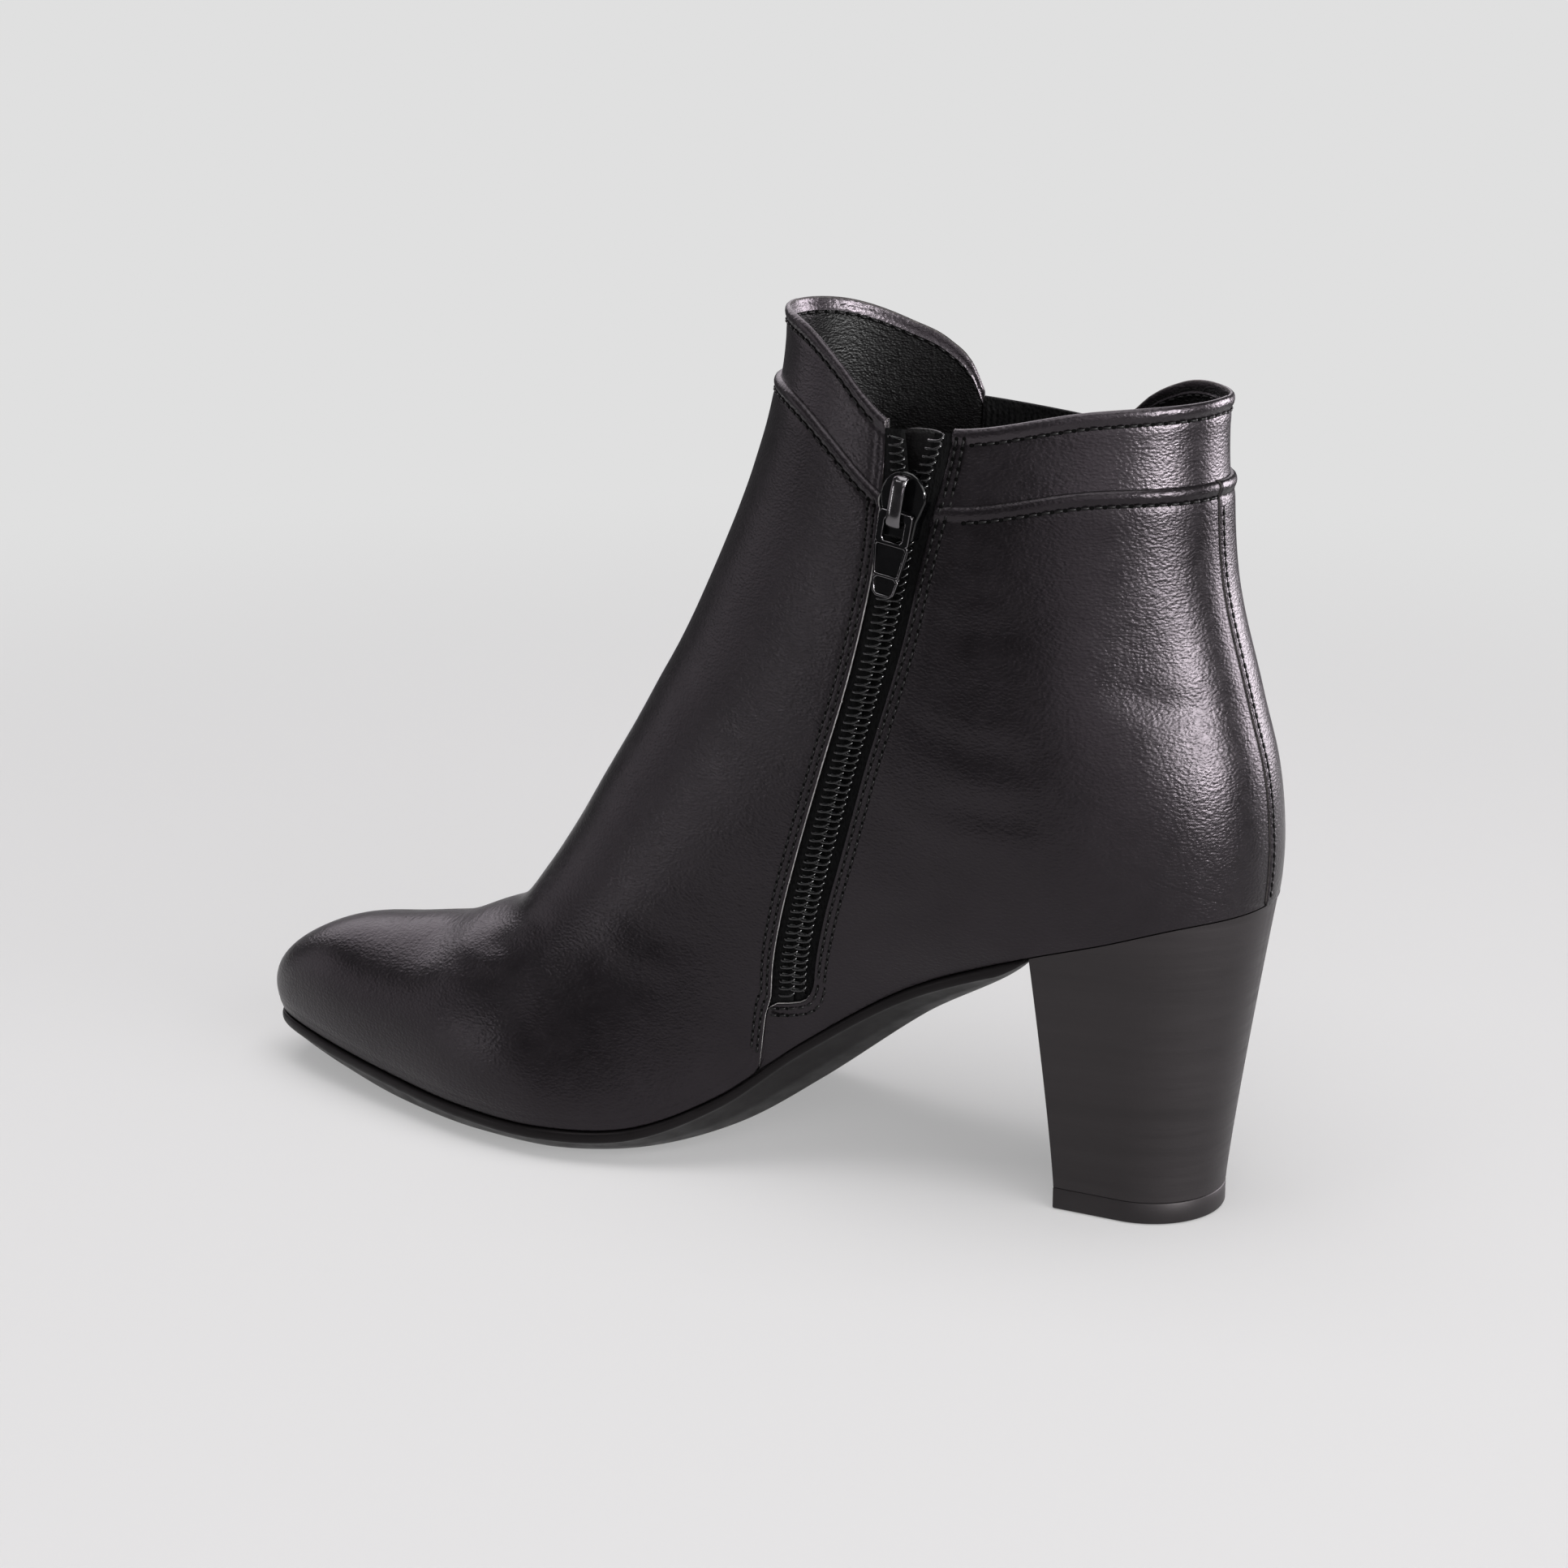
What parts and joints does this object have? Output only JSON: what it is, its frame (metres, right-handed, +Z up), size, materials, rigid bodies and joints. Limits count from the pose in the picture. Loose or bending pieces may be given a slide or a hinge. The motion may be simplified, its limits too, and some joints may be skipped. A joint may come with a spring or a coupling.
{
  "type": "heeled ankle boot",
  "caption": "Right ankle boot in black leather with an almond toe, block heel, side zip with a swinging pull tab and an elastic panel on the outer side.",
  "frame": {"origin": "on the floor under the middle of the boot's box", "axes": "+X from the heel to the toe, +Y to the inner side with the zip, +Z up"},
  "size_m": [0.2426, 0.0814, 0.1872],
  "materials": {
    "leather": "smooth black leather, satin",
    "sole_rubber": "black rubber, satin edge",
    "lining": "black pebbled lining, matt",
    "heel_stack": "black heel with faint layer lines, half matt",
    "top_piece_rubber": "black rubber, matt",
    "elastic": "black ribbed elastic",
    "zip_tape": "black woven tape",
    "zip_coil": "black nylon coil, glossy",
    "zip_metal": "gloss black lacquered metal"
  },
  "bodies": {
    "boot": {"upper": "leather", "outsole": "sole_rubber", "insole": "lining", "heel": "heel_stack", "heel_top_piece": "top_piece_rubber", "elastic_gore": "elastic", "zip_tape_front": "zip_tape", "zip_tape_rear": "zip_tape", "zip_coil_front": "zip_coil", "zip_coil_rear": "zip_coil", "zip_guard": "lining", "zip_slider": "zip_metal"},
    "pull_tab": {"zip_pull": "zip_metal"}
  },
  "joints": [
    {"name": "pull_tab_swing", "type": "hinge", "parent": "boot", "child": "pull_tab", "pos_m": [-0.04938, 0.03393, 0.15008], "axis": [0.9843, -0.1035, 0.1428], "range_deg": [0, 140]}
  ]
}
